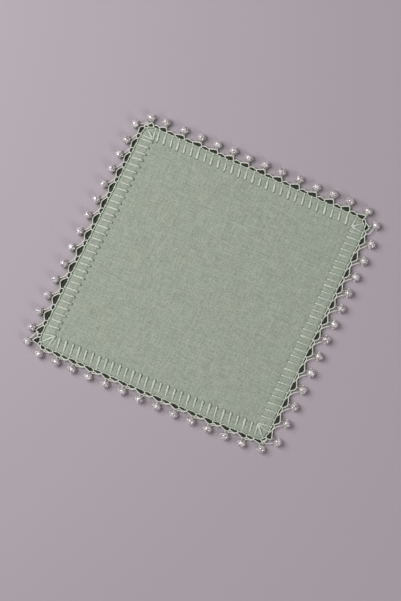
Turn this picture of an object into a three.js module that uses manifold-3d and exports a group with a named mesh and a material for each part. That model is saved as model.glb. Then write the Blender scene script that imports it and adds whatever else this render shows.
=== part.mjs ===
// A small square table cloth of sage linen, lying flat and face up. Blanket stitch holds its hem,
// and a needle-lace edging worked round it carries one clear glass bead on each loop.
// Millimetres, +Z up. The underside lies on z = 0 and the outline is centred on the origin.
import * as THREE from "three";
import { mergeVertices } from "three/addons/utils/BufferGeometryUtils.js";
import Module from "manifold-3d";

// Thread, the number of sides of its section, and the room kept between two pieces that touch.
const THREAD_DIAMETER = 0.6;
const THREAD_RADIUS = THREAD_DIAMETER / 2;
const LACE_SIDES = 4;
const STITCH_SIDES = 3;
const CLEARANCE = 0.3;

// Linen: one layer in the middle, three in the folded hem. The fold rounds the hem's rims, and the
// inner corners of the hem are rounded too. The middle layer reaches into the hem to its outer fold.
const CLOTH_THICKNESS = 1.0;
const HEM_THICKNESS = 1.4;
const HEM_WIDTH = 5.6;
const HEM_ROUNDING = 0.4;
const HEM_CORNER_ROUNDING = 1.5;
const HEM_FOLD_DEPTH = 2;

// Glass beads: round, with a hole that lies along the edge of the cloth. A facet faces down, and its
// middle is a bead's radius from the axis.
const BEAD_RADIUS = 2;
const BEAD_HOLE_RADIUS = 0.75;
const BEAD_FACETS = 8;
const BEAD_PROFILE_STEPS = 4;

// Edge line: the outer side of the purl thread that runs round the cloth.
const PURL_CENTRE = -THREAD_RADIUS;
const CLOTH_EDGE = -THREAD_DIAMETER - CLEARANCE;
const PURL_HEIGHT = 1.3;

// Stitches: each starts on the purl thread, climbs over the hem's rim and lies on the hem, leaning a
// little on. Those of a corner start this far apart and end in one hole.
const STITCH_HEIGHT = HEM_THICKNESS + CLEARANCE + THREAD_RADIUS;
const STITCH_CLIMB = 0.9;
const STITCH_LEAN = 0.75;
const CORNER_STITCH_SPREAD = 4.8;

// Lace: heights of its knots and arches, and how far one side's strand runs into the next one's.
const KNOT_HEIGHT = 1.2;
const ARCH_HEIGHT = 1.4;
const STRAND_OVERLAP = 0.2;

// The line of the lace passes a bead's foot, where both ends of the bead's loop are tied to it.
const BEAD_FOOT = BEAD_RADIUS + CLEARANCE + THREAD_RADIUS;
// The loop's way from its foot to the bead's hole: across, along the edge, and back, towards the
// cloth, from the bead's centre.
const BEAD_LOOP = [
  { across: 0.15, back: 2.75 },
  { across: 1.9, back: 1.85 },
  { across: 2.6, back: 0.15 },
];

// Corners of the edge line, clockwise from above, with the length that the rounding takes.
const CORNERS = [
  { name: "top left", x: -58.0, y: 58.4, rounding: 5.7 },
  { name: "top right", x: 61.2, y: 60.7, rounding: 8.0 },
  { name: "bottom right", x: 59.8, y: -59.0, rounding: 5.7 },
  { name: "bottom left", x: -61.6, y: -61.7, rounding: 5.7 },
];

// Sides in the same order. bow is how far the middle swells outwards. Places of beads and stitches
// are distances along the edge from the middle of the corner where the side starts. drift moves a
// row's middle on, swing moves its first half on and its second half back, and ripple does both.
// reach is how far out a bead's centre lies, and grows by reach_change along the side. turn is the
// angle in degrees by which a bead hangs back from its loop's foot. A bead has one knot before it and
// one after it, each at a share of the way to the next bead and so far out from the edge. An arch
// joins two beads' knots.
const SIDES = [
  {
    bow: 0.1,
    beads: { corner: 1.85, first: 8.2, last: 113.9, count: 13, drift: 0.1, swing: 0.2, ripple: 0.7 },
    stitches: { first: 7.15, last: 107.5, count: 28, drift: -1.5, length: 6.0 },
    lace: { reach: 4.1, reach_change: 0.8, turn: 15, arch_out: 1.25 },
    knots: { before: 0.365, before_out: 0.85, after: 0.21, after_out: 0.65 },
  },
  {
    bow: 0.2,
    beads: { corner: 1.65, first: 8.5, last: 114.0, count: 13, drift: -1.1, swing: 0.3, ripple: 0.3 },
    stitches: { first: 6.55, last: 110.2, count: 31, drift: -2.5, length: 6.8 },
    lace: { reach: 5.4, reach_change: 0.3, turn: 12, arch_out: 1.2 },
    knots: { before: 0.38, before_out: 1.1, after: 0.3, after_out: 0.65 },
  },
  {
    bow: 0.35,
    beads: { corner: 1.3, first: 9.3, last: 116.2, count: 13, drift: 0.8, swing: -0.5, ripple: 0.1 },
    stitches: { first: 8.0, last: 110.35, count: 29, drift: 0.8, length: 7.2 },
    lace: { reach: 4.5, reach_change: -0.4, turn: 8, arch_out: 1.6 },
    knots: { before: 0.17, before_out: 0.85, after: 0.42, after_out: 0.7 },
  },
  {
    bow: 0.05,
    beads: { corner: 1.1, first: 5.2, last: 115.3, count: 14, drift: 1.8, swing: -0.6, ripple: 0.1 },
    stitches: { first: 10.0, last: 111.6, count: 31, drift: 0.3, length: 6.8 },
    lace: { reach: 5.75, reach_change: -1.1, turn: 5, arch_out: 1.6 },
    knots: { before: 0.34, before_out: 1.3, after: 0.38, after_out: 0.95 },
  },
];

// Steps of the outline along a side and round a corner.
const SIDE_STEPS = 8;
const CORNER_STEPS = 5;

// Hand work is a little uneven: how far a bead's reach wanders, in two slow waves round the cloth.
const REACH_WANDER = 0.2;
const WANDER_WAVES = [2.9, 1.7];

const linen = new THREE.MeshStandardMaterial({ color: "#9ba693", roughness: 0.95, metalness: 0 });
const cotton = new THREE.MeshStandardMaterial({ color: "#c3cbb6", roughness: 0.8, metalness: 0 });
const lace_cotton = new THREE.MeshStandardMaterial({ color: "#b9c2ab", roughness: 0.8, metalness: 0 });
const glass = new THREE.MeshStandardMaterial({
  color: "#e9e4e6",
  roughness: 0.05,
  metalness: 0,
  transparent: true,
  opacity: 0.6,
});

// Vertices nearer than this are one.
const WELD_DISTANCE = 1e-4;

const UP = new THREE.Vector3(0, 0, 1);
const LATHE_AXIS = new THREE.Vector3(0, 1, 0);

const wasm = await Module();
wasm.setup();

// Solids: a closed geometry as a solid, a solid as a geometry, and many solids as one.
function solid_of(geometry) {
  const bare = geometry.clone();
  bare.deleteAttribute("normal");
  bare.deleteAttribute("uv");
  const merged = mergeVertices(bare, WELD_DISTANCE);
  return new wasm.Manifold(
    new wasm.Mesh({
      numProp: 3,
      vertProperties: new Float32Array(merged.attributes.position.array),
      triVerts: new Uint32Array(merged.index.array),
    }),
  );
}

function geometry_of(solid) {
  const mesh = solid.getMesh();
  const geometry = new THREE.BufferGeometry();
  geometry.setAttribute("position", new THREE.BufferAttribute(mesh.vertProperties, 3));
  geometry.setIndex(new THREE.BufferAttribute(mesh.triVerts, 1));
  geometry.computeVertexNormals();
  return geometry;
}

function joined(geometries) {
  return geometry_of(geometries.map(solid_of).reduce((whole, piece) => whole.add(piece)));
}

// A line round the cloth at an inset from its edge line: four slightly bowed sides, with a rounded
// corner after each.
function make_line(inset, roundings) {
  const corners = CORNERS.map(({ x, y }) => new THREE.Vector2(x, y));
  const directions = corners.map((corner, i) =>
    corners[(i + 1) % corners.length].clone().sub(corner).normalize(),
  );
  corners.forEach((corner, i) => {
    const before = (i + corners.length - 1) % corners.length;
    corner.addScaledVector(directions[i], inset).addScaledVector(directions[before], -inset);
  });
  const starts = [];
  const ends = [];
  const swells = [];
  SIDES.forEach((side, i) => {
    const next = (i + 1) % SIDES.length;
    const outwards = new THREE.Vector2(-directions[i].y, directions[i].x);
    starts.push(corners[i].clone().addScaledVector(directions[i], roundings[i]));
    ends.push(corners[next].clone().addScaledVector(directions[i], -roundings[next]));
    swells.push(starts[i].clone().lerp(ends[i], 0.5).addScaledVector(outwards, 2 * side.bow));
  });
  const path = new THREE.Path();
  path.moveTo(starts[0].x, starts[0].y);
  SIDES.forEach((side, i) => {
    const next = (i + 1) % SIDES.length;
    path.quadraticCurveTo(swells[i].x, swells[i].y, ends[i].x, ends[i].y);
    path.quadraticCurveTo(corners[next].x, corners[next].y, starts[next].x, starts[next].y);
  });
  return path;
}

const edge = make_line(0, CORNERS.map(({ rounding }) => rounding));
const edge_length = edge.getLength();
const half_side = edge_length / SIDES.length / 2;
const lengths = [0, ...edge.getCurveLengths()];

// Where each side starts along the edge: the middle of the rounded corner before it.
const side_starts = SIDES.map((side, i) => {
  const corner_end = 2 * i;
  const corner_start = i === 0 ? lengths.length - 2 : corner_end - 1;
  const wrap = i === 0 ? edge_length : 0;
  return (lengths[corner_end] + lengths[corner_start] - wrap) / 2;
});

// A place by its distance along the edge, out from it and up.
function place(along, out, height) {
  const share = THREE.MathUtils.euclideanModulo(along / edge_length, 1);
  const point = edge.getPoint(share);
  const tangent = edge.getTangent(share);
  return new THREE.Vector3(point.x - tangent.y * out, point.y + tangent.x * out, height);
}

// The outline at a distance out from a line round the cloth.
function outline(line, out) {
  return line.curves.flatMap((curve, i) => {
    const steps = i % 2 === 0 ? SIDE_STEPS : CORNER_STEPS;
    return Array.from({ length: steps }, (_, k) => {
      const point = curve.getPointAt(k / steps);
      const tangent = curve.getTangentAt(k / steps);
      return point.add(new THREE.Vector2(-tangent.y, tangent.x).multiplyScalar(out));
    });
  });
}

// A flat piece between two outlines, or filled where there is no inner one, from one height up.
function flat_piece(outer, inner, from, thickness, rounding) {
  const shape = new THREE.Shape(outer);
  if (inner) shape.holes.push(new THREE.Path(inner.reverse()));
  const geometry = new THREE.ExtrudeGeometry(shape, {
    depth: thickness - 2 * rounding,
    bevelEnabled: rounding > 0,
    bevelThickness: rounding,
    bevelSize: rounding,
    bevelOffset: -rounding,
    bevelSegments: 1,
  });
  return geometry.translate(0, 0, from + rounding);
}

// A strand's section is set across it at each of the points given, and nowhere else.
class StrandPath extends THREE.CatmullRomCurve3 {
  getPointAt(share, target) {
    return this.getPoint(share, target);
  }
  getTangentAt(share, target) {
    return this.getTangent(share, target);
  }
}

function strand(points, sides) {
  const section = new THREE.Shape();
  for (let k = 0; k < sides; k++) {
    const angle = ((k + 0.5) * 2 * Math.PI) / sides;
    const corner = [THREAD_RADIUS * Math.cos(angle), THREAD_RADIUS * Math.sin(angle)];
    if (k === 0) section.moveTo(...corner);
    else section.lineTo(...corner);
  }
  return new THREE.ExtrudeGeometry(section, {
    steps: points.length - 1,
    extrudePath: new StrandPath(points),
  });
}

// Cloth: the hem is a raised band, and the single layer lies inside it and under it.
function make_cloth() {
  const hem_line = make_line(
    HEM_WIDTH - CLOTH_EDGE,
    CORNERS.map(() => HEM_CORNER_ROUNDING),
  );
  const hem = flat_piece(outline(edge, CLOTH_EDGE), outline(hem_line, 0), 0, HEM_THICKNESS, HEM_ROUNDING);
  const middle = flat_piece(outline(edge, CLOTH_EDGE - HEM_FOLD_DEPTH), null, 0, CLOTH_THICKNESS, 0);
  return joined([hem, middle]);
}

// The place along a side of one of a row that is evenly set but for its slow waves.
function station({ first, last, count, drift, swing = 0, ripple = 0 }, k) {
  const share = k / (count - 1);
  const waves = [drift, swing, ripple].map((size, w) => size * Math.sin((w + 1) * Math.PI * share));
  return THREE.MathUtils.lerp(first, last, share) + waves[0] + waves[1] + waves[2];
}

// Blanket stitch: a purl thread round the edge, a row of stitches on each side, and three stitches
// spread from one hole at each corner.
function make_blanket_stitch() {
  const purl = flat_piece(
    outline(edge, PURL_CENTRE + THREAD_RADIUS),
    outline(edge, PURL_CENTRE - THREAD_RADIUS),
    PURL_HEIGHT - THREAD_RADIUS,
    THREAD_DIAMETER,
    0,
  );
  const stitches = [];
  SIDES.forEach((side, i) => {
    for (let k = 0; k < side.stitches.count; k++) {
      const along = side_starts[i] + station(side.stitches, k);
      stitches.push(
        strand(
          [
            place(along - STITCH_LEAN / 2, PURL_CENTRE, PURL_HEIGHT),
            place(along - STITCH_LEAN / 2, PURL_CENTRE - STITCH_CLIMB, STITCH_HEIGHT),
            place(along + STITCH_LEAN / 2, -side.stitches.length, STITCH_HEIGHT),
          ],
          STITCH_SIDES,
        ),
      );
    }
    stitches.push(...corner_stitches(i));
  });
  return joined([purl, ...stitches]);
}

function corner_stitches(i) {
  const before = SIDES[(i + SIDES.length - 1) % SIDES.length];
  const corner = new THREE.Vector3(CORNERS[i].x, CORNERS[i].y, STITCH_HEIGHT);
  const ahead = place(side_starts[i] + half_side, 0, STITCH_HEIGHT).sub(corner).normalize();
  const behind = place(side_starts[i] - half_side, 0, STITCH_HEIGHT).sub(corner).normalize();
  const hole = corner
    .clone()
    .addScaledVector(ahead, before.stitches.length)
    .addScaledVector(behind, SIDES[i].stitches.length);
  return [-CORNER_STITCH_SPREAD, 0, CORNER_STITCH_SPREAD].map((spread) =>
    strand(
      [
        place(side_starts[i] + spread, PURL_CENTRE, PURL_HEIGHT),
        place(side_starts[i] + spread, PURL_CENTRE - STITCH_CLIMB, STITCH_HEIGHT),
        hole,
      ],
      STITCH_SIDES,
    ),
  );
}

// Beads: the first of each side stands at its corner, and the rest follow along the side. Each has
// its centre, and the direction of its hole.
function bead_places() {
  const beads = [];
  SIDES.forEach((side, i) => {
    for (let k = 0; k <= side.beads.count; k++) {
      const along = side_starts[i] + (k === 0 ? side.beads.corner : station(side.beads, k - 1));
      const [slow, fast] = WANDER_WAVES.map((wave) => Math.sin(beads.length * wave));
      const reach =
        side.lace.reach +
        (side.lace.reach_change * k) / side.beads.count +
        (REACH_WANDER * (slow + fast)) / 2;
      const turn = THREE.MathUtils.degToRad(side.lace.turn);
      beads.push({
        along,
        side,
        centre: place(along, reach, BEAD_RADIUS),
        ahead: tangent_at(along).applyAxisAngle(UP, turn),
      });
    }
  });
  return beads;
}

// The point of a bead's loop that lies across, along its hole, and back from its centre.
function beside(bead, across, back) {
  const outwards = new THREE.Vector3(-bead.ahead.y, bead.ahead.x, 0);
  return bead.centre.clone().addScaledVector(bead.ahead, across).addScaledVector(outwards, -back);
}

function make_bead_geometry() {
  const half_facet = Math.PI / BEAD_FACETS;
  const corner_radius = BEAD_RADIUS / Math.cos(half_facet);
  const rim_angle = Math.asin(BEAD_HOLE_RADIUS / BEAD_RADIUS);
  const profile = [];
  for (let k = 0; k <= BEAD_PROFILE_STEPS; k++) {
    const angle = THREE.MathUtils.lerp(rim_angle, Math.PI - rim_angle, k / BEAD_PROFILE_STEPS);
    profile.push(new THREE.Vector2(corner_radius * Math.sin(angle), -BEAD_RADIUS * Math.cos(angle)));
  }
  profile.push(profile[0].clone());
  return new THREE.LatheGeometry(profile, BEAD_FACETS, half_facet);
}

// Lace: its line rises from a knot near the edge to a bead's foot, comes back to a second knot, and
// arches over to the next bead's first knot. One strand serves each side and meets the next one's.
function make_lace(beads) {
  const first_knots = beads.map((bead, i) => {
    const gap = gap_between(beads.at(i - 1), bead);
    const { before, before_out } = bead.side.knots;
    return { along: bead.along - before * gap, out: before_out };
  });
  const scallops = beads.map((bead, i) => {
    const gap = gap_between(bead, beads[(i + 1) % beads.length]);
    const { after, after_out } = bead.side.knots;
    const first = first_knots[i];
    const second = bead.along + after * gap;
    const arch_length = gap_between({ along: second }, first_knots[(i + 1) % beads.length]);
    return [
      place(first.along, first.out, KNOT_HEIGHT),
      beside(bead, 0, BEAD_FOOT),
      place(second, after_out, KNOT_HEIGHT),
      place(second + arch_length / 2, bead.side.lace.arch_out, ARCH_HEIGHT),
    ];
  });
  let from = 0;
  const lines = SIDES.map((side) => {
    const to = from + side.beads.count + 1;
    const points = scallops.slice(from, to).flat();
    const [meeting] = scallops[to % beads.length];
    const overlap = meeting.clone().sub(points.at(-1)).setLength(STRAND_OVERLAP);
    from = to;
    return strand([...points, meeting.clone().add(overlap)], LACE_SIDES);
  });
  return joined([...lines, ...beads.map(bead_loop)]);
}

function bead_loop(bead) {
  const half_loop = (turn) => BEAD_LOOP.map(({ across, back }) => beside(bead, turn * across, back));
  return strand([...half_loop(-1), ...half_loop(1).reverse()], LACE_SIDES);
}

// The length of edge from one place to the next.
function gap_between(one, next) {
  return THREE.MathUtils.euclideanModulo(next.along - one.along, edge_length);
}

function tangent_at(along) {
  const share = THREE.MathUtils.euclideanModulo(along / edge_length, 1);
  const { x, y } = edge.getTangent(share);
  return new THREE.Vector3(x, y, 0);
}

// The whole cloth.
const beaded_cloth = new THREE.Group();

function add_mesh(name, geometry, material) {
  const mesh = new THREE.Mesh(geometry, material);
  mesh.name = name;
  beaded_cloth.add(mesh);
  return mesh;
}

const beads = bead_places();
add_mesh("cloth", make_cloth(), linen);
add_mesh("blanket_stitch", make_blanket_stitch(), cotton);
add_mesh("lace_edging", make_lace(beads), lace_cotton);

const bead_geometry = make_bead_geometry();
beads.forEach((bead, i) => {
  const mesh = add_mesh("bead_" + String(i + 1).padStart(2, "0"), bead_geometry, glass);
  mesh.position.copy(bead.centre);
  mesh.quaternion.setFromUnitVectors(LATHE_AXIS, bead.ahead);
});

export default beaded_cloth;
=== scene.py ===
import math

import bmesh
import bpy
import numpy as np
from mathutils import Matrix, Vector


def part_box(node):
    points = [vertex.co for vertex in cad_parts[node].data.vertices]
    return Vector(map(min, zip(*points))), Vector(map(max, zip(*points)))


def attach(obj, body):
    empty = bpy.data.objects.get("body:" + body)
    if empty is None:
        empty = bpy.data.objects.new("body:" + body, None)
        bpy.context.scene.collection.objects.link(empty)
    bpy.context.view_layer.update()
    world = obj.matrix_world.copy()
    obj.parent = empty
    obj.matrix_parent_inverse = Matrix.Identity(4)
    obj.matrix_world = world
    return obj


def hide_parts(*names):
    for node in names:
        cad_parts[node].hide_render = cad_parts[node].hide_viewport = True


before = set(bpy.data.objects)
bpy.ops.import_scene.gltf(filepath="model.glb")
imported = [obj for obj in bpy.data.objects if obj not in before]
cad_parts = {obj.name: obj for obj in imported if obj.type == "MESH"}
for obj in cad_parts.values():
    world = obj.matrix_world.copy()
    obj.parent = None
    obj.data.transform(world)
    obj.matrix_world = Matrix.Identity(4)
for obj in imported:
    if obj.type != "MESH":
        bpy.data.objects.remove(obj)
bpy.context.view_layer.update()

MM = 0.001

# Corners of the edge line, clockwise from above, with the length of side that the rounding takes.
CORNERS = [
    {"x": -58.0, "y": 58.4, "rounding": 5.7},
    {"x": 61.2, "y": 60.7, "rounding": 8.0},
    {"x": 59.8, "y": -59.0, "rounding": 5.7},
    {"x": -61.6, "y": -61.7, "rounding": 5.7},
]

# Sides in the same order: how far each swells outwards, its beads, its stitches and its lace. Beads and
# stitches run from first to last along a side, with slow drifts in their pitch. Each bead hangs back
# by the lace's turn, in degrees, and the foot of its loop lies this far in from its centre.
SIDES = [
    {
        "bow": 0.1,
        "beads": {"corner": 1.85, "first": 8.2, "last": 113.9, "count": 13, "waves": (0.1, 0.2, 0.7)},
        "stitches": {"first": 7.15, "last": 107.5, "count": 28, "waves": (-1.5,), "length": 6.0},
        "lace": {"turn": 15, "foot": 2.6, "arch_out": 1.15},
        "knots": {"before": 0.365, "before_out": 0.85, "after": 0.21, "after_out": 0.65},
    },
    {
        "bow": 0.2,
        "beads": {"corner": 1.65, "first": 8.5, "last": 114.0, "count": 13, "waves": (-1.1, 0.3, 0.3)},
        "stitches": {"first": 6.55, "last": 110.2, "count": 31, "waves": (-2.5,), "length": 6.8},
        "lace": {"turn": 12, "foot": 3.45, "arch_out": 0.9},
        "knots": {"before": 0.38, "before_out": 0.78, "after": 0.33, "after_out": 0.65},
    },
    {
        "bow": 0.35,
        "beads": {"corner": 1.3, "first": 9.3, "last": 116.2, "count": 13, "waves": (0.8, -0.5, 0.1)},
        "stitches": {"first": 8.0, "last": 110.35, "count": 29, "waves": (0.8,), "length": 7.2},
        "lace": {"turn": 8, "foot": 2.65, "arch_out": 1.18},
        "knots": {"before": 0.17, "before_out": 0.85, "after": 0.42, "after_out": 0.7},
    },
    {
        "bow": 0.05,
        "beads": {"corner": 1.1, "first": 5.2, "last": 115.3, "count": 14, "waves": (1.8, -0.6, 0.1)},
        "stitches": {"first": 10.0, "last": 111.6, "count": 31, "waves": (0.3,), "length": 6.8},
        "lace": {"turn": 5, "foot": 2.8, "arch_out": 1.4},
        "knots": {"before": 0.34, "before_out": 1.15, "after": 0.38, "after_out": 0.85},
    },
]

THREAD_RADIUS = 0.3
# The lace pulls the purl thread out where it is tied to it, and the thread lies further in between.
PURL_TIED = -0.25
PURL_SAGS = [0.35, 0.14, 0.32, 0.26]
PURL_HEIGHT = 1.3
KNOT_HEIGHT = 1.2
ARCH_HEIGHT = 1.4


# Edge line

def unit(vector):
    return vector / np.linalg.norm(vector)


def edge_curves():
    """The curves of the edge line, as (start, control, end): a side, then the corner after it."""
    points = [np.array([c["x"], c["y"]], float) for c in CORNERS]
    roundings = [c["rounding"] for c in CORNERS]
    ways = [unit(points[(i + 1) % 4] - points[i]) for i in range(4)]
    starts = [points[i] + ways[i] * roundings[i] for i in range(4)]
    ends = [points[(i + 1) % 4] - ways[i] * roundings[(i + 1) % 4] for i in range(4)]
    curves = []
    for i, side in enumerate(SIDES):
        outwards = np.array([-ways[i][1], ways[i][0]])
        swell = (starts[i] + ends[i]) / 2 + outwards * 2 * side["bow"]
        curves.append((starts[i], swell, ends[i]))
        curves.append((ends[i], points[(i + 1) % 4], starts[(i + 1) % 4]))
    return curves


def sampled(curve, count):
    start, control, end = curve
    t = np.linspace(0, 1, count, endpoint=False)[:, None]
    return (1 - t) ** 2 * start + 2 * t * (1 - t) * control + t * t * end


CURVE_SAMPLES = 240
EDGE = np.concatenate([sampled(curve, CURVE_SAMPLES) for curve in edge_curves()])
EDGE = np.concatenate([EDGE, EDGE[:1]])
RUN = np.concatenate([[0], np.cumsum(np.linalg.norm(np.diff(EDGE, axis=0), axis=1))])
EDGE_LENGTH = RUN[-1]
HALF_SIDE = EDGE_LENGTH / 8
WAY_REACH = 0.05
CURVE_ENDS = [RUN[i * CURVE_SAMPLES] for i in range(9)]
SIDE_STARTS = [
    (CURVE_ENDS[2 * i] + (CURVE_ENDS[2 * i - 1] if i else CURVE_ENDS[7] - EDGE_LENGTH)) / 2
    for i in range(4)
]


def on_edge(along):
    """The point of the edge line at this length from the start of the first side."""
    at = along % EDGE_LENGTH
    return np.array([np.interp(at, RUN, EDGE[:, 0]), np.interp(at, RUN, EDGE[:, 1])])


def way_at(along):
    return unit(on_edge(along + WAY_REACH) - on_edge(along - WAY_REACH))


def place(along, out, height):
    """The point at a length along the edge line, a distance out from it and a height."""
    x, y = on_edge(along)
    way = way_at(along)
    return np.array([x - way[1] * out, y + way[0] * out, height])


def station(row, k):
    """How far along its side the bead or stitch with this number lies."""
    share = k / (row["count"] - 1)
    waves = sum(size * math.sin((w + 1) * math.pi * share) for w, size in enumerate(row["waves"]))
    return row["first"] + (row["last"] - row["first"]) * share + waves


# Beads of the part

def bead_table():
    """Each bead's place along the edge, its side, its centre from the part, and the way of its hole."""
    beads = []
    for i, side in enumerate(SIDES):
        for k in range(side["beads"]["count"] + 1):
            corner = side["beads"]["corner"]
            along = SIDE_STARTS[i] + (station(side["beads"], k - 1) if k else corner)
            low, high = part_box("bead_%02d" % (len(beads) + 1))
            turn = math.radians(side["lace"]["turn"])
            way = way_at(along)
            ahead = np.array([
                way[0] * math.cos(turn) - way[1] * math.sin(turn),
                way[0] * math.sin(turn) + way[1] * math.cos(turn),
                0,
            ])
            centre = np.array((low + high) / 2) / MM
            beads.append({"along": along, "side": i, "centre": centre, "ahead": ahead})
    return beads


BEADS = bead_table()


def gap_between(one, following):
    return (following - one) % EDGE_LENGTH


def beside(bead, across, back, height=None):
    """A point across from a bead's centre and back towards the cloth, at its height if none is given."""
    outwards = np.array([-bead["ahead"][1], bead["ahead"][0], 0])
    point = bead["centre"] + bead["ahead"] * across - outwards * back
    if height is not None:
        point[2] = height
    return point


# Places of the lace

# A tie runs from each first knot to the purl thread, this far along, on each side of the cloth.
TIE_STEPS = [0.8, 2.2, 0.8, 0.8]


def lace_points():
    """The knots, tie and arch of each bead, each as a place along the edge and out from it."""
    count = len(BEADS)
    units = []
    for i, bead in enumerate(BEADS):
        knots = SIDES[bead["side"]]["knots"]
        gap = gap_between(BEADS[i - 1]["along"], bead["along"])
        following = gap_between(bead["along"], BEADS[(i + 1) % count]["along"])
        units.append({
            "bead": bead,
            "first": (bead["along"] - knots["before"] * gap, knots["before_out"]),
            "second": (bead["along"] + knots["after"] * following, knots["after_out"]),
        })
        units[-1]["tie"] = units[-1]["first"][0] + TIE_STEPS[bead["side"]]
    for i, here in enumerate(units):
        start = here["second"][0]
        arch = start + gap_between(start, units[(i + 1) % count]["first"][0]) / 2
        here["arch"] = (arch, SIDES[here["bead"]["side"]]["lace"]["arch_out"])
        here["next_first"] = units[(i + 1) % count]["first"]
        here["last_second"] = units[i - 1]["second"]
    for i, here in enumerate(units):
        here["last_arch"] = units[i - 1]["arch"]
    return units


LACE = lace_points()
TIES = np.sort(np.array([at % EDGE_LENGTH for here in LACE for at in (here["tie"], here["second"][0])]))
TIES = np.concatenate([[TIES[-1] - EDGE_LENGTH], TIES, [TIES[0] + EDGE_LENGTH]])
# A side keeps its own sag between these shares of its half length, and the sag changes at the corners.
SAG_KEPT = (0.15, 1.85)
SAG_PLACES = [SIDE_STARTS[i] + HALF_SIDE * share for i in range(4) for share in SAG_KEPT]
SAG_SIDES = [i for i in range(4) for share in SAG_KEPT]


def sag(along):
    """How far the purl thread has sagged back between two ties of the lace."""
    at = along % EDGE_LENGTH
    k = np.searchsorted(TIES, at, side="right") - 1
    most = np.interp(at, SAG_PLACES, [PURL_SAGS[side] for side in SAG_SIDES])
    return most * math.sin(math.pi * (at - TIES[k]) / (TIES[k + 1] - TIES[k]))


# Objects

def new_object(name, mesh):
    made = bpy.data.objects.new(name, mesh)
    bpy.context.scene.collection.objects.link(made)
    return made


def smooth(mesh):
    mesh.polygons.foreach_set("use_smooth", [True] * len(mesh.polygons))


def dress(piece, material, slot, *nodes):
    piece.data.materials.clear()
    piece.data.materials.append(material)
    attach(piece, "root")
    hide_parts(*nodes)


# Threads

THREAD_STEP = 0.48
SMOOTH_STEPS = 16
# The two plies turn once in this length, and between them the section has this share of its width.
PLY_TURN = 3.6
PLY_WAIST = 0.7
PLY_CORNERS = 6
# Points closer than this are one, in metres.
MERGE = 1e-7


def smoothed(points, step=THREAD_STEP):
    """A smooth line through the points, in even steps."""
    points = np.array(points, float)
    padded = np.concatenate([[2 * points[0] - points[1]], points, [2 * points[-1] - points[-2]]])
    t = np.linspace(0, 1, SMOOTH_STEPS, endpoint=False)[:, None]
    fine = []
    for a, b, c, d in zip(padded, padded[1:], padded[2:], padded[3:]):
        square, cube = 2 * a - 5 * b + 4 * c - d, 3 * b - a - 3 * c + d
        fine.append(0.5 * (2 * b + (c - a) * t + square * t**2 + cube * t**3))
    fine = np.concatenate([*fine, points[-1:]])
    run = run_along(fine)
    at = np.linspace(0, run[-1], max(3, round(run[-1] / step) + 1))
    return np.stack([np.interp(at, run, fine[:, k]) for k in range(3)], axis=1)


def run_along(points):
    return np.concatenate([[0], np.cumsum(np.linalg.norm(np.diff(points, axis=0), axis=1))])


def ply_section():
    """The section of a thread of two plies, as a closed flat curve."""
    section = bpy.data.curves.new("ply_section", "CURVE")
    section.dimensions = "2D"
    spline = section.splines.new("POLY")
    spline.points.add(PLY_CORNERS - 1)
    spline.use_cyclic_u = True
    for k, point in enumerate(spline.points):
        angle = 2 * math.pi * k / PLY_CORNERS
        reach = THREAD_RADIUS * (PLY_WAIST + (1 - PLY_WAIST) * abs(math.cos(angle)))
        point.co = (reach * math.cos(angle) * MM, reach * math.sin(angle) * MM, 0, 1)
    return bpy.data.objects.new("ply_section", section)


def thread_piece(name, threads):
    """One mesh of twisted threads: each has its points in millimetres, its weight or its weight at each
    point, and whether it closes."""
    section = ply_section()
    curve = bpy.data.curves.new(name, "CURVE")
    curve.dimensions = "3D"
    curve.bevel_mode = "OBJECT"
    curve.bevel_object = section
    curve.use_fill_caps = True
    curve.twist_mode = "MINIMUM"
    for points, weight, closed in threads:
        spline = curve.splines.new("POLY")
        spline.points.add(len(points) - 1)
        spline.use_cyclic_u = closed
        turns = run_along(points) / PLY_TURN
        if closed:
            steps = len(points)
            turns = np.arange(steps) * round(turns[-1] * steps / (steps - 1)) / steps
        radii = np.broadcast_to(weight, len(points))
        for point, at, turn, radius in zip(spline.points, points, turns, radii):
            point.co = (*(at * MM), 1)
            point.tilt = 2 * math.pi * (turn % 1)
            point.radius = radius
    holder = new_object(name + "_curve", curve)
    bpy.context.view_layer.update()
    graph = bpy.context.evaluated_depsgraph_get()
    mesh = bpy.data.meshes.new_from_object(holder.evaluated_get(graph))
    mesh.name = name
    bpy.data.objects.remove(holder)
    bpy.data.objects.remove(section)
    bm = bmesh.new()
    bm.from_mesh(mesh)
    bmesh.ops.remove_doubles(bm, verts=bm.verts, dist=MERGE)
    bmesh.ops.recalc_face_normals(bm, faces=bm.faces)
    bm.to_mesh(mesh)
    bm.free()
    smooth(mesh)
    return new_object(name, mesh)


# Blanket stitch

# A stitch hooks round the purl thread, climbs over the rim, lies in its pucker of the hem and goes
# down through the cloth at its inner end. Its heights from the rim on, in that order:
STITCH_RIM = 0.68
STITCH_RISE = 1.2
STITCH_CREST = 1.4
STITCH_SEAT = 1.3
STITCH_DIVE = 0.9
# The hook's points from the purl thread: along the edge, out and up.
STITCH_HOOK = [(-0.2, -0.15, -0.42), (-0.15, 0.28, -0.15), (0, -0.1, 0.12)]
STITCH_CLIMB = 0.55
# Where it lies on the hem, as shares of the way from the rim to the hole.
STITCH_LYING = (0.3, 0.65)
# It bends down this far before the middle of the hole, and ends this far past it.
STITCH_BEND = 0.25
STITCH_PAST = 0.1
STITCH_LEAN = 0.75
CORNER_SPREAD = 4.8
CORNER_LIFT = 0.15
# Its thickness, in shares of a plain thread's, at places along it from the hook to the hole.
STITCH_WEIGHT = 2.12
STITCH_SPREAD_PLACES = [0, 0.16, 0.4, 0.85, 1]
STITCH_SPREADS = [0.68, 0.84, 0.94, 1.08, 1.0]
STITCH_VARIES = 0.09
STITCH_VARIES_TURN = 2.4
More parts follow.
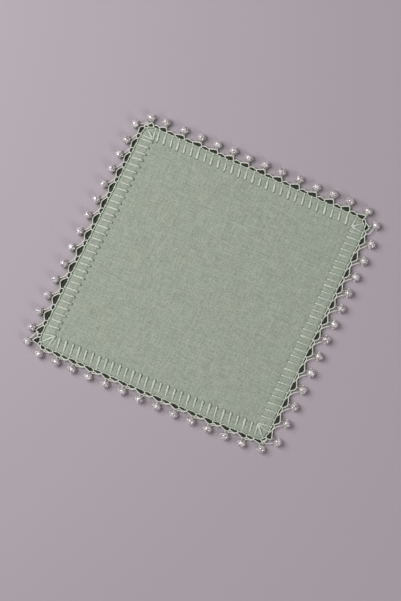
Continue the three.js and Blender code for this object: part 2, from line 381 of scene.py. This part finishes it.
# No hole is quite in its row: how far it is astray and further out, and how much higher the stitch is.
STITCH_UNEVEN = [0.1, 0.14, 0.06]
STITCH_TURNS = [3.7, 2.9, 1.7]
PURL_WEIGHT = 1.12
# Waves in the purl thread, out and up: their size, how many go round the edge and where they start.
PURL_SWAYS = [(0.07, 61, 1), (0.05, 143, 0)]
PURL_LIFT, PURL_LIFT_WAVES = 0.06, 97
# The edging is more than one thread deep: lower threads lie under the purl and under the lace. Darkened
# by painted shade, they fill the slits with dark where there is only shade.
LOW_HEIGHT = 0.53
LOW_WEIGHT = 1.5
SHADE_FILL_PURL_CENTRES = [-0.55, 0.1]


def stitch_line(foot, hole, crest):
    """The points of a stitch from its foot on the purl thread to its hole."""
    purl = PURL_TIED - sag(foot)
    rim = place(foot, purl - STITCH_CLIMB, STITCH_RIM)
    way = unit(hole[:2] - rim[:2])
    lying = [rim + (hole - rim) * share for share in STITCH_LYING]
    end = hole - np.array([*(way * STITCH_BEND), 0])
    for point, height in zip([*lying, end], (STITCH_RISE, crest, STITCH_SEAT)):
        point[2] = height
    dive = np.array([*(hole[:2] + way * STITCH_PAST), STITCH_DIVE])
    hook = [place(foot + ahead, purl + out, PURL_HEIGHT + up) for ahead, out, up in STITCH_HOOK]
    return [*hook, rim, *lying, end, dive]


def stitch_weight(points, number):
    """A stitch is drawn tight over the purl and spreads on the hem, no two quite alike."""
    run = run_along(points)
    spread = np.interp(run / run[-1], STITCH_SPREAD_PLACES, STITCH_SPREADS)
    return STITCH_WEIGHT * spread * (1 + STITCH_VARIES * math.sin(STITCH_VARIES_TURN * number))


def stitch_rows():
    lines = []
    for i, side in enumerate(SIDES):
        row = side["stitches"]
        for k in range(row["count"]):
            along = SIDE_STARTS[i] + station(row, k)
            astray, further_out, higher = (
                most * math.sin(turn * len(lines) + 1) for most, turn in zip(STITCH_UNEVEN, STITCH_TURNS)
            )
            hole = place(along + STITCH_LEAN / 2 + astray, further_out - row["length"], STITCH_SEAT)
            lines.append(stitch_line(along - STITCH_LEAN / 2, hole, STITCH_CREST + higher))
        lines += corner_stitches(i)
    return lines


def corner_stitches(i):
    """The three stitches that share a hole at the corner before a side."""
    corner = np.array([CORNERS[i]["x"], CORNERS[i]["y"], STITCH_SEAT])
    ahead = unit(place(SIDE_STARTS[i] + HALF_SIDE, 0, STITCH_SEAT) - corner)
    behind = unit(place(SIDE_STARTS[i] - HALF_SIDE, 0, STITCH_SEAT) - corner)
    hole = corner + ahead * SIDES[i - 1]["stitches"]["length"] + behind * SIDES[i]["stitches"]["length"]
    return [
        stitch_line(SIDE_STARTS[i] + spread, hole, STITCH_CREST + lift)
        for spread, lift in ((-CORNER_SPREAD, 0), (0, CORNER_LIFT), (CORNER_SPREAD, 0))
    ]


def purl_line(height, out=None):
    """A purl thread round the edge, a little uneven as hand work is, straight where out is given."""
    steps = round(EDGE_LENGTH / THREAD_STEP)
    points = []
    for k in range(steps):
        along = EDGE_LENGTH * k / steps
        turn = 2 * math.pi * k / steps
        sway = sum(size * math.sin(waves * turn + start) for size, waves, start in PURL_SWAYS)
        centre = PURL_TIED - sag(along) if out is None else out
        points.append(place(along, centre + sway, height + PURL_LIFT * math.sin(PURL_LIFT_WAVES * turn)))
    return np.array(points)


STITCHES = stitch_rows()
stitching = thread_piece("blanket_stitch_thread", [
    *[(smoothed(line), stitch_weight(smoothed(line), k), False) for k, line in enumerate(STITCHES)],
    (purl_line(PURL_HEIGHT), PURL_WEIGHT, True),
    # Lower purl threads, darkened by painted shade, fill the slits as painted shade.
    *[(purl_line(LOW_HEIGHT, out), LOW_WEIGHT, True) for out in SHADE_FILL_PURL_CENTRES],
])


# Lace

# Each bead hangs from its foot. The second strand leaves the foot beside the first: on the sides where
# it shows it runs on to the next knot, and along the bottom it comes from the arch before the bead.
SECOND_STRANDS = [None, "after", "before", "after"]
# Middle of the second strand: how far past the bead, and how far out from the edge.
SECOND_MIDDLES = [None, (3.12, 2.3), None, (3.75, 1.8)]
# Where it leaves a bead: across, back towards the cloth and above the knots.
AFTER_START = (1.55, 2.2, 0.2)
BEFORE_START = (-1.3, 2.4, 0.2)
SECOND_LIFT = 0.2
# Its points near the lace's own places, each as steps along the edge, out and up from there.
AFTER_NEXT_FIRST = [(-0.9, 0.35, 0.3), (0, 0.1, 0.3), (0.4, -0.3, 0.1)]
BEFORE_FIRST = [(0.1, 0.95, 0.2)]
BEFORE_LAST_ARCH = [(0.8, 0.35, 0.1), (-0.6, 0.3, 0)]
BEFORE_LAST_SECOND = [(0.2, 0.2, 0)]
# The thread round a bead starts at this angle from the foot, this much nearer to the bead than the
# foot and at this height, then tucks under the bead: angle from the foot, reach from the bead's
# centre, height.
LEG_START = (6, 0.3, 1.45)
BEAD_LEG = [(26, 1.86, 0.85), (50, 1.82, 0.77), (74, 2.06, 1.2), (88, 2.08, 1.75)]
# Through the bead it is drawn this far each way from the middle of the hole.
HOLE_REACH = 0.9
LOOP_WEIGHT = 0.95
FOOT_HEIGHT = 1.65
LACE_WEIGHT = 1.12
# Lower strands lie under the lace, nearer to the cloth, the second at half its reach. Darkened by
# painted shade, they fill the openings of the lace with dark where there is only shade.
SHADE_FILL_SHARES = [1.0, 0.55]
LOW_INSET = 0.7
LOW_REACH = 2.3
LOW_LACE_HEIGHT = 0.55
LOW_LACE_WEIGHT = 1.8
# A tie's middle, as a share of the way out to its knot, and above the knots.
TIE_OUT = 0.45
TIE_LIFT = 0.1
KNOT_POINTS = 14
KNOT_LENGTH = 0.42
KNOT_REACH = 0.5
KNOT_FLATNESS = 0.85
KNOT_OUT = 0.12
KNOT_LIFT = 0.05
KNOT_STEP = 0.34
KNOT_WEIGHT = 0.72


def knot(at):
    """A turn and a half of thread, tied round the strands that meet at a knot."""
    points = []
    for k in range(KNOT_POINTS):
        angle = 3 * math.pi * k / (KNOT_POINTS - 1)
        points.append(place(
            at + KNOT_LENGTH * (k / (KNOT_POINTS - 1) - 0.5),
            KNOT_OUT + KNOT_REACH * math.cos(angle),
            KNOT_HEIGHT + KNOT_LIFT + KNOT_REACH * KNOT_FLATNESS * math.sin(angle),
        ))
    return points


def bead_leg(bead, turn, first=0):
    """The thread from beside a bead's foot, under the bead's side, to one end of its hole."""
    degrees, closer, low = LEG_START
    start = (degrees, SIDES[bead["side"]]["lace"]["foot"] - closer, low)
    leg = []
    for degrees, reach, height in [start, *BEAD_LEG][first:]:
        angle = math.radians(degrees)
        leg.append(beside(bead, turn * reach * math.sin(angle), reach * math.cos(angle), height))
    return leg


def near(spot, height, steps):
    """Points near a place of the lace, as steps along the edge, out and up from it."""
    return [place(spot[0] + ahead, spot[1] + out, height + up) for ahead, out, up in steps]


def bead_thread(here):
    """The thread through a bead, with the second strand on the sides where one shows."""
    bead = here["bead"]
    kind = SECOND_STRANDS[bead["side"]]
    hole = [beside(bead, -HOLE_REACH, 0), beside(bead, HOLE_REACH, 0)]
    if kind == "after":
        across, back, up = AFTER_START
        ahead, out = SECOND_MIDDLES[bead["side"]]
        run_on = [
            beside(bead, across, back, KNOT_HEIGHT + up),
            place(bead["along"] + ahead, out, KNOT_HEIGHT + SECOND_LIFT),
            *near(here["next_first"], KNOT_HEIGHT, AFTER_NEXT_FIRST),
        ]
        return [*bead_leg(bead, -1), *hole, *reversed(bead_leg(bead, 1, 2)), *run_on]
    if kind == "before":
        across, back, up = BEFORE_START
        run_on = [
            beside(bead, across, back, KNOT_HEIGHT + up),
            *near(here["first"], KNOT_HEIGHT, BEFORE_FIRST),
            *near(here["last_arch"], ARCH_HEIGHT, BEFORE_LAST_ARCH),
            *near(here["last_second"], KNOT_HEIGHT, BEFORE_LAST_SECOND),
        ]
        return [*reversed(run_on), *bead_leg(bead, -1, 2), *hole, *reversed(bead_leg(bead, 1))]
    return [*bead_leg(bead, -1), *hole, *reversed(bead_leg(bead, 1))]


def shade_fill_points(here, share):
    """The points of a lower strand at one bead, at a share of the lace's reach. The strand is darkened
    by painted shade and fills the openings as painted shade.
    """
    bead = here["bead"]
    inset = SIDES[bead["side"]]["lace"]["foot"] + LOW_INSET + LOW_REACH * (1 - share)
    first, second, arch = here["first"], here["second"], here["arch"]
    return [
        place(first[0], first[1] * share, LOW_LACE_HEIGHT),
        beside(bead, 0, inset, LOW_LACE_HEIGHT),
        place(second[0], second[1] * share, LOW_LACE_HEIGHT),
        place(arch[0], (arch[1] - LOW_INSET) * share, LOW_LACE_HEIGHT),
    ]


def lace_threads():
    strand = []
    threads = []
    for here in LACE:
        bead = here["bead"]
        first = place(*here["first"], KNOT_HEIGHT)
        foot = beside(bead, 0, SIDES[bead["side"]]["lace"]["foot"], FOOT_HEIGHT)
        strand += [first, foot, place(*here["second"], KNOT_HEIGHT), place(*here["arch"], ARCH_HEIGHT)]
        threads.append((smoothed(knot(here["second"][0]), KNOT_STEP), KNOT_WEIGHT, False))
        tied_at = (here["first"][0] + here["tie"]) / 2
        middle = place(tied_at, here["first"][1] * TIE_OUT, KNOT_HEIGHT + TIE_LIFT)
        hang = place(here["tie"], PURL_TIED, PURL_HEIGHT)
        threads.append((smoothed([first, middle, hang]), LACE_WEIGHT, False))
        threads.append((smoothed(bead_thread(here)), LOOP_WEIGHT, False))
    closed = [(strand, LACE_WEIGHT)]
    # Lower strands, darkened by painted shade, fill the openings of the lace as painted shade.
    for share in SHADE_FILL_SHARES:
        closed.append(([point for here in LACE for point in shade_fill_points(here, share)], LOW_LACE_WEIGHT))
    for line, weight in closed:
        threads.append((smoothed(line + line[:1])[:-1], weight, True))
    return threads


lace = thread_piece("needle_lace_thread", lace_threads())


# Beads

BEAD_RADIUS = 2.0
BEAD_HOLE = 0.55
BEAD_RINGS = 12
BEAD_SEGMENTS = 20


def bead_mesh():
    """A round glass bead with a hole along Y: half its outline and the hole's wall, spun round."""
    bm = bmesh.new()
    rim = math.asin(BEAD_HOLE / BEAD_RADIUS)
    verts = []
    for k in range(BEAD_RINGS + 1):
        angle = rim + (math.pi - 2 * rim) * k / BEAD_RINGS
        point = (BEAD_RADIUS * math.sin(angle) * MM, -BEAD_RADIUS * math.cos(angle) * MM, 0)
        verts.append(bm.verts.new(point))
    for a, b in zip(verts, verts[1:] + verts[:1]):
        bm.edges.new((a, b))
    bmesh.ops.spin(
        bm, geom=bm.verts[:] + bm.edges[:], cent=(0, 0, 0), axis=(0, 1, 0), angle=2 * math.pi,
        steps=BEAD_SEGMENTS, use_merge=True,
    )
    bmesh.ops.remove_doubles(bm, verts=bm.verts, dist=MERGE)
    bmesh.ops.recalc_face_normals(bm, faces=bm.faces)
    mesh = bpy.data.meshes.new("bead")
    bm.to_mesh(mesh)
    bm.free()
    return mesh


def all_beads():
    """One mesh of all the beads, each with its hole along the edge."""
    one = bead_mesh()
    bm = bmesh.new()
    for bead in BEADS:
        before = len(bm.verts)
        bm.from_mesh(one)
        bm.verts.ensure_lookup_table()
        turn = Vector((0, 1, 0)).rotation_difference(Vector(bead["ahead"])).to_matrix().to_4x4()
        moved = Matrix.Translation(Vector(bead["centre"]) * MM) @ turn
        bmesh.ops.transform(bm, matrix=moved, verts=bm.verts[before:])
    mesh = bpy.data.meshes.new("glass_beads")
    bm.to_mesh(mesh)
    bm.free()
    smooth(mesh)
    return new_object("glass_beads", mesh)


glass_beads = all_beads()


# Cloth

CLOTH_SIDE = 120.0
CLOTH_EDGE = -0.55
CLOTH_SCALLOP = 0.45
CLOTH_HEIGHT = 1.0
# Grid lines of the cloth: their distances from the edge over the hem, and how many lie between.
BORDER_STEPS = [0, 0.12, 0.35, 0.7, 1.2, 1.8, 2.4, 3.0, 3.6, 4.2, 4.8, 5.3, 5.7, 6.1, 6.5, 6.9, 7.4, 8.0]
GRID_MIDDLE = 132
# How far in a point lies is taken from every fourth point of the edge line, for so many points at once.
EDGE_EVERY = 4
SEARCHED_AT_ONCE = 4000
FAR = 1e9
# The hem, and the roll of its folded rim round a line at the rim's height, down to this share of its
# thickness at the edge.
HEM_WIDTH = 5.6
HEM_HEIGHT = 1.4
HEM_STEP = 0.9
RIM = 2.3
RIM_HEIGHT = 0.4
EDGE_SHARE = 0.12
# Towards its middle the cloth rises and falls by this much, in waves of these lengths and starts.
SWELL = 0.05
SWELL_WAVES = [(9.1, 0.6), (11.3, 1.2)]
SWELL_FADE = 12
# A stitch presses a pucker into the hem and a small hole at its inner end. The pucker fades in past
# the rim and out past the hole.
PUCKER_DEPTH = 0.34
PUCKER_WIDTH = 0.66
PUCKER_FADE = 0.8
PUCKER_START = 0.9
PUCKER_END = 0.5
PUCKER_MARGIN = 2
HOLE_DEPTH = 0.3
HOLE_WIDTH = 0.45
HOLE_PAST = 0.25


def grid_shares(length):
    """Shares of a side at which the cloth's grid lines run, closer near both ends."""
    border = np.array(BORDER_STEPS) / length
    middle = np.linspace(border[-1], 1 - border[-1], GRID_MIDDLE)[1:-1]
    return np.concatenate([border, middle, 1 - border[::-1]])


def cloth_outline(i, shares):
    """One side of the cloth's outline in plan: it follows the sags of the purl thread in scallops."""
    stop = SIDE_STARTS[i + 1] if i < 3 else SIDE_STARTS[0] + EDGE_LENGTH
    runs = SIDE_STARTS[i] + (stop - SIDE_STARTS[i]) * shares
    return np.array([place(run, CLOTH_EDGE - CLOTH_SCALLOP * sag(run), 0)[:2] for run in runs])


def cloth_places():
    """The cloth's grid in plan, stretched between the four sides of its outline."""
    shares = grid_shares(CLOTH_SIDE)
    n = len(shares)
    top, right, bottom, left = (cloth_outline(i, shares) for i in range(4))
    right, bottom = right[::-1], bottom[::-1]
    u = shares[:, None, None]
    v = shares[None, :, None]
    places = (
        (1 - v) * bottom[:, None] + v * top[:, None] + (1 - u) * left[None] + u * right[None]
        - (1 - u) * (1 - v) * bottom[0] - u * (1 - v) * bottom[-1]
        - (1 - u) * v * top[0] - u * v * top[-1]
    )
    return places.reshape(-1, 2), n


def from_edge(points):
    """How far in from the edge line each point lies."""
    fine = EDGE[:-1:EDGE_EVERY]
    reach = np.full(len(points), FAR)
    for start in range(0, len(points), SEARCHED_AT_ONCE):
        some = slice(start, start + SEARCHED_AT_ONCE)
        reach[some] = np.sqrt(((points[some][:, None] - fine[None]) ** 2).sum(2)).min(1)
    return reach


def ramp(x):
    """From 0 to 1 with a soft start and a soft end."""
    x = np.clip(x, 0, 1)
    return x * x * (3 - 2 * x)


def dents(points):
    """How deep the stitches press into the cloth at each point."""
    depth = np.zeros(len(points))
    for line in STITCHES:
        start, end = line[len(STITCH_HOOK)][:2], line[-1][:2]
        length = np.linalg.norm(end - start)
        way = (end - start) / length
        near_by = np.abs(points - (start + end) / 2).max(1) < length / 2 + PUCKER_MARGIN
        offset = points[near_by] - start
        run = offset @ way
        aside = offset @ np.array([-way[1], way[0]])
        inside = ramp(run / PUCKER_FADE - PUCKER_START) * ramp((length - run) / PUCKER_FADE + PUCKER_END)
        groove = np.exp(-((aside / PUCKER_WIDTH) ** 2)) * inside
        from_hole = ((points[near_by] - end - way * HOLE_PAST) ** 2).sum(1)
        hole = np.exp(-from_hole / HOLE_WIDTH**2)
        depth[near_by] = np.maximum(depth[near_by], PUCKER_DEPTH * groove + HOLE_DEPTH * hole)
    return depth


def cloth_heights(points):
    """The heights of the cloth's face and of its underside at each point, in a closed rim."""
    reach = from_edge(points) + CLOTH_EDGE
    hem = 1 - ramp((reach - HEM_WIDTH + HEM_STEP / 2) / HEM_STEP)
    top = CLOTH_HEIGHT + (HEM_HEIGHT - CLOTH_HEIGHT) * hem
    across, up = (np.sin(points[:, k] / length + start) for k, (length, start) in enumerate(SWELL_WAVES))
    top = top + SWELL * across * up * ramp(reach / SWELL_FADE)
    top = top - dents(points)
    rounding = np.sqrt(np.clip(1 - (1 - np.clip(reach / RIM, 0, 1)) ** 2, 0, 1))
    rounding = EDGE_SHARE + (1 - EDGE_SHARE) * rounding
    return RIM_HEIGHT + (top - RIM_HEIGHT) * rounding, RIM_HEIGHT - RIM_HEIGHT * rounding


def cloth_piece():
    """A closed sheet: the grid is its face, and the same grid pulled down is its underside."""
    places, n = cloth_places()
    top, bottom = cloth_heights(places)
    bm = bmesh.new()
    bmesh.ops.create_grid(bm, x_segments=n - 1, y_segments=n - 1, size=1)
    number = bm.verts.layers.int.new("number")
    for vert in bm.verts:
        # A corner of the grid lies at its row and column in a square from -1 to 1.
        row, column = (round((c + 1) / 2 * (n - 1)) for c in vert.co[:2])
        at = row * n + column
        vert[number] = at
        vert.co = Vector((places[at][0], places[at][1], top[at])) * MM
    wall = bmesh.ops.extrude_face_region(bm, geom=bm.faces[:], use_keep_orig=True)
    for vert in wall["geom"]:
        if isinstance(vert, bmesh.types.BMVert):
            vert.co.z = bottom[vert[number]] * MM
    bmesh.ops.recalc_face_normals(bm, faces=bm.faces)
    mesh = bpy.data.meshes.new("linen_cloth")
    bm.to_mesh(mesh)
    bm.free()
    smooth(mesh)
    return new_object("linen_cloth", mesh)


cloth = cloth_piece()


# Materials

# Linen threads lie about 0.5 mm apart, which is finer than the render shows, so they are drawn coarser.
THREAD_PITCH = 0.75
# A wave texture of scale 1 has bands this far apart, in metres.
WAVE_PITCH = 0.31416
# Width of the linen's grain and of its slubs, which run on along their thread and show this strongly.
GRAIN_WIDTH = 0.6
SLUB_WIDTH = 0.55
SLUB_STRETCH = 0.07
SLUB_SHARE = 0.55
WASHED_PATCH = 14
# Flecks and fibres of the cotton threads.
PLY_FLECK = 1.5
FIBRE_WIDTH = 0.2
# Threads below the first height are painted dark green, painted shade for the slits and needle holes;
# above the second they keep their own colour.
PAINTED_SHADE_BELOW = 1.02
PAINTED_SHADE_ENDS_ABOVE = 1.2
PAINTED_SHADE_GREEN = "#2B311F"
# Ripples in the face of the glass, and pale and dark patches in its pale body: painted highlights and
# painted shade for the glints and dark refractions of clear glass.
GLASS_RIPPLE = 1.15
GLASS_PAINTED_LIGHT_PATCH = 1.1


def colour(code):
    """A sRGB hex value as linear red, green, blue and alpha."""
    parts = [int(code[k:k + 2], 16) / 255 for k in (1, 3, 5)]
    return tuple(c / 12.92 if c <= 0.04045 else ((c + 0.055) / 1.055) ** 2.4 for c in parts) + (1.0,)


def add(tree, kind, inputs=None, **settings):
    """A node with its settings, whose inputs are values or the sockets that feed them."""
    made = tree.nodes.new(kind)
    for key, value in settings.items():
        setattr(made, key, value)
    for key, value in (inputs or {}).items():
        if isinstance(value, bpy.types.NodeSocket):
            tree.links.new(value, made.inputs[key])
        else:
            made.inputs[key].default_value = value
    return made


def new_material(name):
    made = bpy.data.materials.new(name)
    made.use_nodes = True
    made.node_tree.nodes.clear()
    return made, made.node_tree


def linen_material():
    """Washed plain-weave linen: a matt cloth whose uneven threads show as short, fine streaks."""
    made, tree = new_material("washed_sage_linen")
    place_of = add(tree, "ShaderNodeTexCoord").outputs["Object"]
    weave = add(tree, "ShaderNodeTexNoise", {
        "Vector": place_of, "Scale": 1 / (GRAIN_WIDTH * MM), "Detail": 1.0,
    }).outputs["Fac"]
    heights = []
    for direction, stretch in (("X", (1.0, SLUB_STRETCH, 1.0)), ("Y", (SLUB_STRETCH, 1.0, 1.0))):
        heights.append(add(tree, "ShaderNodeTexWave", {
            "Vector": place_of, "Scale": WAVE_PITCH / (THREAD_PITCH * MM), "Distortion": 2.0,
            "Detail": 2.0, "Detail Scale": 0.8,
        }, wave_type="BANDS", bands_direction=direction).outputs["Fac"])
        moved = add(tree, "ShaderNodeMapping", {"Vector": place_of, "Scale": stretch})
        slub = add(tree, "ShaderNodeTexNoise", {
            "Vector": moved.outputs[0], "Scale": 1 / (SLUB_WIDTH * MM), "Detail": 1.0, "Roughness": 0.6,
        })
        weave = add(tree, "ShaderNodeMath", {
            0: slub.outputs["Fac"], 1: SLUB_SHARE, 2: weave,
        }, operation="MULTIPLY_ADD").outputs[0]
    ridges = add(tree, "ShaderNodeMath", {0: heights[0], 1: heights[1]}, operation="ADD")
    tone = add(tree, "ShaderNodeMapRange", {"Value": weave, "From Min": 0.62, "From Max": 1.38})
    threads = add(tree, "ShaderNodeMix", {
        "Factor": tone.outputs[0], "A": colour("#7F877B"), "B": colour("#ABB2A6"),
    }, data_type="RGBA")
    patches = add(tree, "ShaderNodeTexNoise", {
        "Vector": place_of, "Scale": 1 / (WASHED_PATCH * MM), "Detail": 2.0,
    })
    tint = add(tree, "ShaderNodeMapRange", {
        "Value": patches.outputs["Fac"], "From Min": 0.3, "From Max": 0.7,
    })
    warm = add(tree, "ShaderNodeMix", {
        "Factor": tint.outputs[0], "A": colour("#FAFBF9"), "B": colour("#FCFCF7"),
    }, data_type="RGBA")
    mixed = add(tree, "ShaderNodeMix", {
        "Factor": 1.0, "A": threads.outputs["Result"], "B": warm.outputs["Result"],
    }, data_type="RGBA", blend_type="MULTIPLY")
    bump = add(tree, "ShaderNodeBump", {
        "Height": ridges.outputs[0], "Strength": 0.3, "Distance": 0.2 * MM,
    })
    shader = add(tree, "ShaderNodeBsdfPrincipled", {
        "Base Color": mixed.outputs["Result"], "Roughness": 0.92, "Normal": bump.outputs[0],
        "Sheen Weight": 0.1, "Sheen Roughness": 0.5,
    })
    add(tree, "ShaderNodeOutputMaterial", {"Surface": shader.outputs[0]})
    return made


def thread_material(name, dark, light):
    """Mercerised cotton of two plies, with a silky light along it, and painted shade darkening it
    wherever it lies low.
    """
    made, tree = new_material(name)
    place_of = add(tree, "ShaderNodeTexCoord").outputs["Object"]
    flecks = add(tree, "ShaderNodeTexNoise", {
        "Vector": place_of, "Scale": 1 / (PLY_FLECK * MM), "Detail": 3.0,
    })
    mixed = add(tree, "ShaderNodeMix", {
        "Factor": flecks.outputs["Fac"], "A": colour(dark), "B": colour(light),
    }, data_type="RGBA")
    # Painted shade: below a height the thread is mixed to a dark green, for the shade in the slits and
    # at the holes.
    height = add(tree, "ShaderNodeSeparateXYZ", {"Vector": place_of}).outputs["Z"]
    painted_shade_fade = add(tree, "ShaderNodeMapRange", {
        "Value": height, "From Min": PAINTED_SHADE_BELOW * MM, "From Max": PAINTED_SHADE_ENDS_ABOVE * MM,
    })
    with_painted_shade = add(tree, "ShaderNodeMix", {
        "Factor": painted_shade_fade.outputs[0], "A": colour(PAINTED_SHADE_GREEN), "B": mixed.outputs["Result"],
    }, data_type="RGBA")
    fibres = add(tree, "ShaderNodeTexNoise", {
        "Vector": place_of, "Scale": 1 / (FIBRE_WIDTH * MM), "Detail": 2.0,
    })
    bump = add(tree, "ShaderNodeBump", {
        "Height": fibres.outputs["Fac"], "Strength": 0.3, "Distance": 0.05 * MM,
    })
    shader = add(tree, "ShaderNodeBsdfPrincipled", {
        "Base Color": with_painted_shade.outputs["Result"], "Roughness": 0.55, "Normal": bump.outputs[0],
        "Sheen Weight": 0.1, "Sheen Roughness": 0.4,
    })
    add(tree, "ShaderNodeOutputMaterial", {"Surface": shader.outputs[0]})
    return made


def glass_material():
    """Pressed clear glass, with sharp bright lights over a pale body whose pale and dark patches are
    painted highlights and painted shade.
    """
    made, tree = new_material("pressed_clear_glass")
    place_of = add(tree, "ShaderNodeTexCoord").outputs["Object"]
    ripples = add(tree, "ShaderNodeTexNoise", {
        "Vector": place_of, "Scale": 1 / (GLASS_RIPPLE * MM), "Detail": 1.0,
    })
    bump = add(tree, "ShaderNodeBump", {
        "Height": ripples.outputs["Fac"], "Strength": 0.75, "Distance": 0.8 * MM,
    })
    # Painted highlights and painted shade: the pale body and its dark patches stand in for the light
    # clear glass focuses and the dark it refracts.
    painted_light_patches = add(tree, "ShaderNodeTexNoise", {
        "Vector": place_of, "Scale": 1 / (GLASS_PAINTED_LIGHT_PATCH * MM), "Detail": 1.0,
    })
    tone = add(tree, "ShaderNodeMapRange", {
        "Value": painted_light_patches.outputs["Fac"], "From Min": 0.38, "From Max": 0.52,
    })
    body = add(tree, "ShaderNodeMix", {
        "Factor": tone.outputs[0], "A": colour("#BFADB2"), "B": colour("#FFFBFA"),
    }, data_type="RGBA")
    shader = add(tree, "ShaderNodeBsdfPrincipled", {
        "Base Color": body.outputs["Result"], "Roughness": 0.04, "IOR": 1.6,
        "Transmission Weight": 0.5, "Coat Weight": 1.0, "Coat IOR": 1.75, "Coat Roughness": 0.05,
        "Normal": bump.outputs[0],
    })
    add(tree, "ShaderNodeOutputMaterial", {"Surface": shader.outputs[0]})
    return made


def floor_material():
    """A plain painted board, matt, pale and a little purple."""
    made, tree = new_material("pale_studio_floor")
    shader = add(tree, "ShaderNodeBsdfPrincipled", {"Base Color": colour("#A89EA5"), "Roughness": 0.9})
    add(tree, "ShaderNodeOutputMaterial", {"Surface": shader.outputs[0]})
    return made


dress(cloth, linen_material(), "linen", "cloth")
pearl_cotton = thread_material("sage_pearl_cotton", "#B1B8A9", "#CCD2C5")
lace_cotton = thread_material("sage_lace_cotton", "#C6C9BC", "#DEDFD6")
dress(stitching, pearl_cotton, "stitching_thread", "blanket_stitch")
dress(lace, lace_cotton, "lace_thread", "lace_edging")
dress(glass_beads, glass_material(), "clear_glass", *["bead_%02d" % (k + 1) for k in range(len(BEADS))])


# Floor, light and camera

FLOOR_REACH = 2.0
FLOOR_BELOW = 0.05

bm = bmesh.new()
bmesh.ops.create_grid(bm, x_segments=1, y_segments=1, size=FLOOR_REACH)
bmesh.ops.translate(bm, verts=bm.verts, vec=(0, 0, -FLOOR_BELOW * MM))
floor_mesh = bpy.data.meshes.new("studio_floor")
bm.to_mesh(floor_mesh)
bm.free()
floor = new_object("studio_floor", floor_mesh)
floor.data.materials.append(floor_material())

# The camera looks straight down, turned as the photograph is. The view's height is on the table.
CAMERA_TURN = math.radians(24.72)
IMAGE_RIGHT = Vector((math.cos(CAMERA_TURN), math.sin(CAMERA_TURN), 0))
IMAGE_UP = Vector((-math.sin(CAMERA_TURN), math.cos(CAMERA_TURN), 0))
VIEW_CENTRE = Vector((2.42, -8.96, 0)) * MM
VIEW_HEIGHT = 293.3 * MM
LENS = 85
SENSOR = 36

camera_data = bpy.data.cameras.new("camera")
camera_data.lens = LENS
camera_data.sensor_width = SENSOR
camera = bpy.data.objects.new("camera", camera_data)
camera.location = VIEW_CENTRE + Vector((0, 0, VIEW_HEIGHT * LENS / SENSOR))
camera.rotation_euler = (0, 0, CAMERA_TURN)
bpy.context.scene.collection.objects.link(camera)
bpy.context.scene.camera = camera


def soft_light(name, right, up, height, size, power):
    """A square lamp turned to the middle of the table, placed along the picture's right and up."""
    data = bpy.data.lights.new(name, "AREA")
    data.shape = "SQUARE"
    data.size = size
    data.energy = power
    lamp = bpy.data.objects.new(name, data)
    lamp.location = IMAGE_RIGHT * right + IMAGE_UP * up + Vector((0, 0, height))
    lamp.rotation_mode = "QUATERNION"
    lamp.rotation_quaternion = (-lamp.location).to_track_quat("-Z", "Y")
    bpy.context.scene.collection.objects.link(lamp)


soft_light("window_light", right=-0.47, up=0.25, height=0.62, size=0.54, power=7.0)
soft_light("low_light", right=0.5, up=-0.55, height=0.55, size=0.44, power=2.4)
world = bpy.data.worlds.new("studio")
world.use_nodes = True
world.node_tree.nodes["Background"].inputs["Color"].default_value = colour("#F2F0F3")
world.node_tree.nodes["Background"].inputs["Strength"].default_value = 0.18
bpy.context.scene.world = world
bpy.context.scene.view_settings.view_transform = "Standard"
